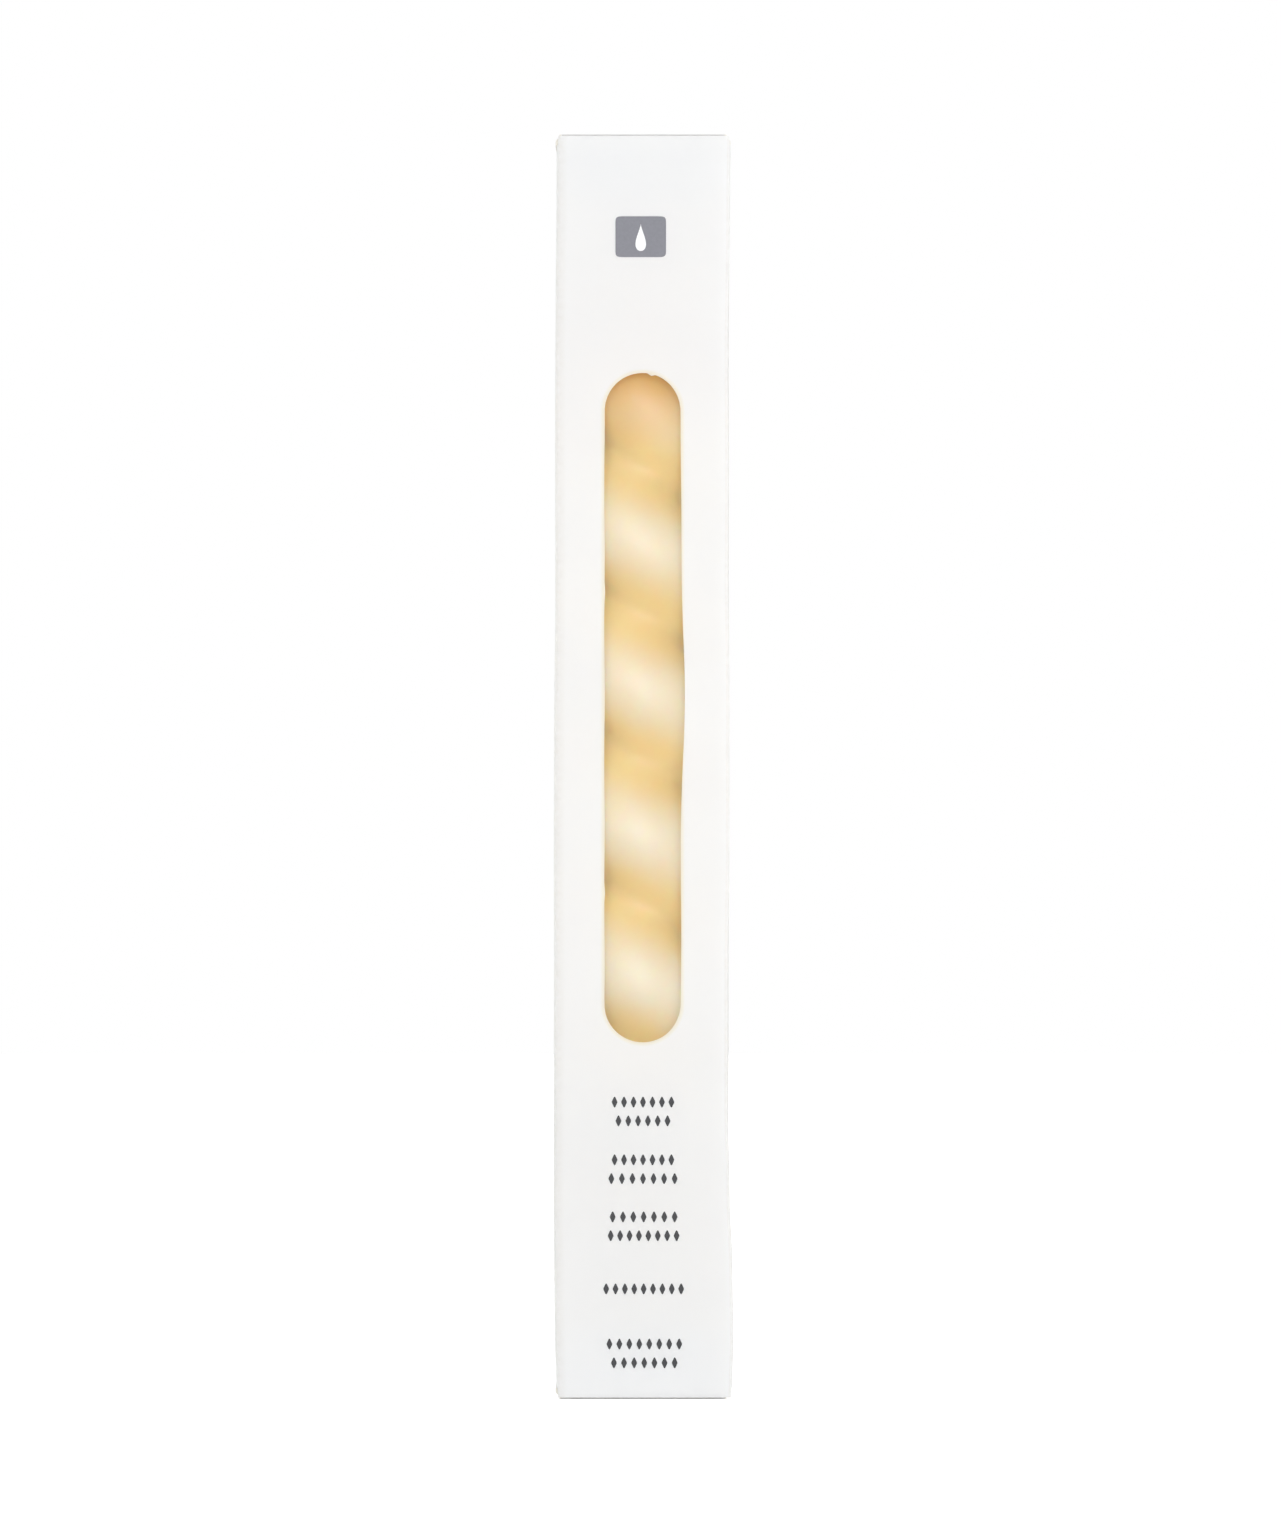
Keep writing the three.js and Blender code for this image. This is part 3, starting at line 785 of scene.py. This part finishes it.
# %% Dried glue
glue, tree, surface = new_material("dried_dispersion_glue", Roughness=0.32, IOR=1.47,
                                   Alpha=0.15)
streak = noise(tree, add(tree, "TexCoord").outputs["Object"], lump=2.5, detail=3.0)
dress(tree, surface, Base_Color=tinted(tree, streak, "#F3F0E6", "#FBFAF5"),
      Normal=relief(tree, streak, strength=0.4, depth=0.05))
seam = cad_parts["seam_glue"]
seam.data.materials.clear()
seam.data.materials.append(glue)
print("material:", glue.name)

# %% [markdown]
# ## Wax
# The candle is cast from a blend of paraffin and stearin. Light goes a few millimetres
# into it and comes out again warmer. A volume inside a clear skin could do that, but it
# takes far longer to render. Subsurface scattering gives the soft body. The colour is also
# painted by the distance from the candle's axis: ivory on the crests and honey yellow in
# the grooves. That is partly the warmer light that comes out where it crosses more wax, and
# partly painted shade, which keeps the grooves dark and warm under any lamp. From just
# below the window's top edge up to the tip the wax is painted a deeper honey, a painted
# shade for the shade under that edge. The skin is satin, with the faint bloom that stearin
# leaves, and a dull clear coat spreads its sheen widely.

# %% Wax material
painted_groove_shade_radius, crest_tone = 7.3, 12.7  # mm from the axis, where each colour is pure
tip_shade_start, tip_shade_end = 146.5, 159.0  # mm above the floor
wax_skin, tree, surface = new_material(
    "cast_paraffin_stearin_wax", IOR=1.43, Coat_Weight=1.0, Coat_Roughness=0.58, Coat_IOR=1.55,
    Subsurface_Weight=0.9, Subsurface_Scale=8.0 * MM, Subsurface_Radius=(1.0, 0.6, 0.3))
spot = add(tree, "TexCoord").outputs["Object"]
parts = add(tree, "SeparateXYZ", {0: spot}).outputs
flat_spot = add(tree, "CombineXYZ", {0: parts[0], 1: parts[1]})
from_axis = add(tree, "VectorMath", {0: flat_spot.outputs[0]}, operation="LENGTH")
bloom = noise(tree, spot, lump=5.5, detail=4.0, roughness=0.6)
cloudy = ranged(tree, bloom, 0, 1, -0.5 * MM, 0.5 * MM)
out = add(tree, "Math", {0: from_axis.outputs["Value"], 1: cloudy}, operation="ADD").outputs[0]
# Painted shade: the grooves get a deeper honey than the crests, on top of what the scattering
# gives.
crest = ranged(tree, out, painted_groove_shade_radius * MM, crest_tone * MM, 0, 1,
               interpolation_type="SMOOTHSTEP")
# Painted shade: from just below the window's top edge up to the tip, the wax is painted a deeper
# honey.
painted_tip_shade = ranged(tree, parts[2], tip_shade_start * MM, tip_shade_end * MM, 0, 1)
cream = tinted(tree, crest, "#F2D597", "#EEE4CF")
ripples = noise(tree, spot, lump=1.1, detail=3.0)
dress(tree, surface, Base_Color=tinted(tree, painted_tip_shade, cream, "#DFAC5E"),
      Roughness=ranged(tree, bloom, 0, 1, 0.52, 0.66),
      Normal=relief(tree, ripples, strength=0.12, depth=0.05))
print("material:", wax_skin.name)

# %% [markdown]
# ## The candle's body
# The spiral is one rounded ridge that climbs round a thinner core, left-handed. A Screw
# modifier could wind a profile up, but it can't fade the ridge out at both ends. So the
# radius is worked out for every angle and level. Cut level, the wax is an apple shape: its
# radius falls from the crest over a broad shoulder into a narrow groove, and each level is
# turned a little further than the one below. At the foot the ridge fades into a round plug,
# and towards the tip everything narrows to the wick. A few slow waves in the radius keep it
# from looking turned on a lathe.

# %% Wax radius
wax_low, wax_high = (np.array(corner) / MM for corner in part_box("candle_wax"))
wax_base, wax_tall = wax_low[2], wax_high[2] - wax_low[2]
crest_radius, groove_depth, groove_softness = 12.0, 5.0, 0.3
pitch, crest_height = 22.5, 63.3  # mm, and where a crest faces the window
foot_radius, foot_tall, shoulder_tall = 10.5, 13.0, 10.0
taper, tip_tall, tip_power, tip_radius, bore = 0.8, 44.0, 1.6, 2.5, 1.02
body_start, tip_start = foot_tall + shoulder_tall, wax_tall - tip_tall
print(f"wax {wax_tall:.1f} mm tall, a ridge of {(tip_start - body_start) / pitch:.1f} full turns")


def ridge(phase):
    """1 on the crest and 0 in the groove, half a turn away: a softened size of cos(phase / 2).

    The root of (cosine squared plus softness squared), less the softness, brought to 1."""
    soft = groove_softness
    return (np.sqrt(np.cos(phase / 2) ** 2 + soft**2) - soft) / (np.sqrt(1 + soft**2) - soft)


def wax_radius(angle, level):
    """Foot radius, then by a smooth step core plus ridge, tapering; narrowed at the tip.

    The tip narrows by 1 less its share to the power of 1.6."""
    phase = angle + np.pi / 2 + 2 * np.pi * (level - crest_height) / pitch
    thinner = taper * np.clip((level - body_start) / (tip_start - body_start), 0, 1)
    twisted = crest_radius - thinner - groove_depth * (1 - ridge(phase))
    body = foot_radius + (twisted - foot_radius) * smooth(level, foot_tall, body_start)
    share = np.clip((level - tip_start) / tip_tall, 0, 1)
    return tip_radius + (body - tip_radius) * (1 - share**tip_power)


# %% Wax rings
around, skin_rings, bore_rings = 128, 500, 40
foot_round = 0.8  # mm, the rounded edge of the foot, by level and by what it takes off
foot_levels = np.array([0.0, 0.06, 0.24, 0.5])
foot_edge = np.array([foot_round, 0.56, 0.26, 0.08])
skin_levels = np.linspace(foot_round, wax_tall, skin_rings)
# The last rows go over the tip, up the wick a little and down its bore.
top_levels = wax_tall + np.array([0.05, 0.2, 0.42, 0.40, 0.1])
top_radii = np.array([1.9, 1.4, bore + 0.06, bore, bore])
bore_levels = np.linspace(wax_tall - 2, 0, bore_rings)
angle = -2 * np.pi * np.arange(around) / around
up = skin_levels[:, None]
# Three slow waves, in mm, less 0.05 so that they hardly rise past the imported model.
wave = (0.04 * np.sin(2 * angle + up / 4.3) + 0.03 * np.sin(5 * angle - up / 2.9 + 1.2)
        - 0.04 * np.sin(up / 7.7) - 0.05)
calm = 12  # mm at both ends, where the waves fade
skin = wax_radius(angle, up) + wave * smooth(up, 2, calm) * (
    1 - smooth(up, wax_tall - calm, wax_tall))
levels = np.concatenate([foot_levels, skin_levels, top_levels, bore_levels])
rings = np.concatenate([foot_radius - foot_edge, top_radii, np.full(bore_rings, bore)])
rings = np.broadcast_to(rings[:, None], (len(rings), around))
radius = np.concatenate([rings[:len(foot_edge)], skin, rings[len(foot_edge):]])
print(f"{len(levels)} rings, widest {2 * radius.max():.2f} mm across")

# %% Wax body
points = grid(radius * np.cos(angle), radius * np.sin(angle), wax_base + levels[:, None])
wax = new_piece("twisted_wax_body", points,
                cells(len(levels), around, wrap_rows=True, wrap_columns=True), [wax_skin])
finish_mesh(wax, sharp_over=50)
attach(wax, "candle")
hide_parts("candle_wax")

# %% [markdown]
# ## Wick
# The wick is a flat braid of three cotton yarns. A twisted texture on a plain rod would do
# from afar, but the gaps between the yarns show at the end of the wick, so each yarn is
# modelled. It swings once from side to side while it passes twice through the middle, so
# its path is a sideways sine with a sine of double speed in depth, and the three are a
# third of a turn apart. Near the wax the cotton is soaked and darker.

# %% Cotton
soak_start, soak_end = 0.4, 2.6  # mm above the wax
cotton, tree, surface = new_material("waxed_cotton_braid", Roughness=0.88, IOR=1.46,
                                     Sheen_Weight=0.25, Sheen_Roughness=0.5)
spot = add(tree, "TexCoord")
lay = add(tree, "Mapping", {0: spot.outputs["UV"], 2: (0, 0, math.radians(35))})
ply = add(tree, "TexWave", {"Vector": lay.outputs[0], "Scale": 3.0, "Distortion": 1.2,
                            "Detail": 2.0}, bands_direction="X").outputs[1]
up = add(tree, "SeparateXYZ", {0: spot.outputs["Object"]}).outputs[2]
soak = ranged(tree, up, (wax_high[2] + soak_start) * MM, (wax_high[2] + soak_end) * MM, 0.8, 0.1)
dry = tinted(tree, ply, "#DDD3BC", "#F6F1E4")
dress(tree, surface, Base_Color=tinted(tree, soak, dry, "#EBD7A8"),
      Normal=relief(tree, ply, strength=0.6, depth=0.08))
print("material:", cotton.name)

# %% Braid
wick_low, wick_high = (np.array(corner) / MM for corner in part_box("wick"))
braid_pitch, yarn_radius = 5.2, 0.42
swing_across, swing_deep = 0.50, 0.30  # mm to each side
yarns, yarn_sides, yarn_levels = 3, 10, 420
tucked_end = 0.0025  # share of the wick over which a yarn's end closes
turns_of_ply = 2.6  # round a yarn, in its UV map
up_share = np.linspace(0, 1, yarn_levels)
yarn_z = wick_low[2] + (wick_high[2] - wick_low[2]) * up_share
# A round end, closed down to a fifth of the radius.
into_end = np.clip((up_share - 1 + tucked_end) / tucked_end, 0, 1)
closing = np.sqrt(np.clip(1 - into_end**2, 0.04, 1))
yarn_faces, yarn_points = [], []
for yarn in range(yarns):
    phase = 2 * np.pi * (yarn_z / braid_pitch + yarn / yarns)
    middle = grid(swing_across * np.sin(phase), swing_deep * np.sin(2 * phase), yarn_z)
    angle = -2 * np.pi * np.arange(yarn_sides) / yarn_sides
    width = (yarn_radius * closing)[:, None]
    points = grid(middle[:, :1] + width * np.cos(angle), middle[:, 1:2] + width * np.sin(angle),
                  middle[:, 2:])
    start = yarn * yarn_levels * yarn_sides
    tube = cells(yarn_levels, yarn_sides, wrap_columns=True) + start
    yarn_points.append(points.reshape(-1, 3))
    yarn_faces += tube.reshape(-1, 4).tolist()
    yarn_faces.append((start + np.arange(yarn_sides)).tolist())
    yarn_faces.append((start + yarn_levels * yarn_sides - 1 - np.arange(yarn_sides)).tolist())
wick = new_piece("braided_wick", np.concatenate(yarn_points), yarn_faces, [cotton])
print(f"{yarns} yarns with {(wick_high[2] - wick_low[2]) / braid_pitch:.1f} swings each")

# %% Yarns unrolled
# The UV map runs round each yarn and along it. Where the ring of points closes, the faces
# end at the full turn instead of going back to 0.
mesh = wick.data
numbers = np.zeros(len(mesh.loops), int)
mesh.loops.foreach_get("vertex_index", numbers)
column, row = numbers % yarn_sides, numbers // yarn_sides % yarn_levels
column = column.astype(float)
far_side = np.tile([0, 0, 1, 1], (yarn_levels - 1) * yarn_sides)  # corners one column on
at_the_ends = np.zeros(2 * yarn_sides)
far_side = np.tile(np.concatenate([far_side, at_the_ends]), yarns)
column[(far_side == 1) & (column == 0)] = yarn_sides
uv = mesh.uv_layers.new(name="yarn")
uv.data.foreach_set("uv", np.stack([column / yarn_sides * turns_of_ply, yarn_z[row]], 1).ravel())
finish_mesh(wick, sharp_over=60)
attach(wick, "candle")
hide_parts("wick")

# %% [markdown]
# ## Print
# The front carries a grey badge above the window and lines of small marks below it, all in
# offset ink. The badge has a plain drop-shaped flame, and the lines are rows of lozenges.
# The board's material could draw them, but as shapes of their own they keep sharp edges at
# any distance. Each mark is a thin closed plate that stands two or three hundredths of a
# millimetre out of the board and follows its bulge.

# %% Inks
inks = {}
for name, dark, light in (("grey_offset_ink", "#75757C", "#808087"),
                          ("black_offset_ink", "#1F1F22", "#29292C"),
                          ("board_left_unprinted", "#F1F1F0", "#F7F7F6")):
    ink, tree, surface = new_material(name, Roughness=0.45, IOR=1.5, Specular_IOR_Level=0.3)
    mottle = noise(tree, add(tree, "TexCoord").outputs["Object"], lump=0.5, detail=3.0)
    dress(tree, surface, Base_Color=tinted(tree, mottle, dark, light),
          Normal=relief(tree, mottle, strength=0.15, depth=0.02))
    inks[name] = ink
print("inks:", list(inks))


# %% Plates
ink_proud, flame_proud = 0.02, 0.03  # mm out of the board, the flame on top of the badge
ink_root = 0.04  # mm that a plate reaches into the board


def plates(name, outlines, proud, material):
    """Closed thin plates on the front wall. Each outline is (x, z), clockwise from the front."""
    points, faces, start = [], [], 0
    for outline in outlines:
        count = len(outline)
        for depth in (-half - proud, -half + ink_root):
            points.append(np.insert(outline, 1, depth, axis=1))
        front, rear = start + np.arange(count), start + count + np.arange(count)
        faces += [front[::-1].tolist(), rear.tolist()]
        faces += np.stack([front, np.roll(front, -1), np.roll(rear, -1), rear], 1).tolist()
        start += 2 * count
    placed = np.concatenate(points)
    moved = bowed(grid(placed[:, 0], -half, placed[:, 2]))
    placed[:, 1] += moved[:, 1] + half
    piece = new_piece(name, placed, faces, [material])
    finish_mesh(piece)
    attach(piece, "carton_sleeve")


# %% Badge
badge_x, badge_z = -0.35, 179.2
badge_half_wide, badge_half_tall, badge_power = 3.9, 3.15, 12
turn = -2 * np.pi * (np.arange(128) + 0.5) / 128


def power_of(wave):
    """The wave to the power of 2 / badge_power, with its own sign."""
    return np.sign(wave) * np.abs(wave) ** (2 / badge_power)


# Superellipse: |x / a| to the power 12 plus |z / b| to the power 12 is 1.
badge = np.stack([badge_x + badge_half_wide * power_of(np.cos(turn)),
                  badge_z + badge_half_tall * power_of(np.sin(turn))], 1)
plates("printed_badge", [badge], ink_proud, inks["grey_offset_ink"])

# %% Flame
flame_drop, flame_wide, flame_half_tall = 0.1, 1.25, 2.1
# Teardrop: (sin a times the square of sin half a, cos a), point up.
drop = np.pi - turn
flame = np.stack([badge_x - flame_wide * np.sin(drop) * np.sin(drop / 2) ** 2,
                  badge_z - flame_drop + flame_half_tall * np.cos(drop)], 1)
plates("printed_flame", [flame], flame_proud, inks["board_left_unprinted"])

# %% Rows of marks
lines = (  # height, first and last x in mm
    (45.8, -4.8, 4.8), (42.9, -4.2, 4.2), (36.9, -4.8, 4.8), (34.0, -5.3, 5.3),
    (28.1, -5.1, 5.3), (25.2, -5.4, 5.6), (17.0, -6.1, 6.3), (8.5, -5.6, 6.0),
    (5.6, -4.9, 5.3))
lozenge = np.array([(0, 0.85), (0.12, 0.75), (0.42, 0.1), (0.42, -0.1), (0.12, -0.75),
                    (0, -0.85), (-0.12, -0.75), (-0.42, -0.1), (-0.42, 0.1), (-0.12, 0.75)])
mark_half, mark_step = lozenge[:, 0].max(), 1.52
marks = []
for line_z, first, last in lines:
    number = int(round((last - first - 2 * mark_half) / mark_step)) + 1
    for x in np.linspace(first + mark_half, last - mark_half, number):
        marks.append(lozenge + (x, line_z))
plates("printed_rows", marks, ink_proud, inks["black_offset_ink"])
print(f"{len(marks)} lozenges in {len(lines)} rows")
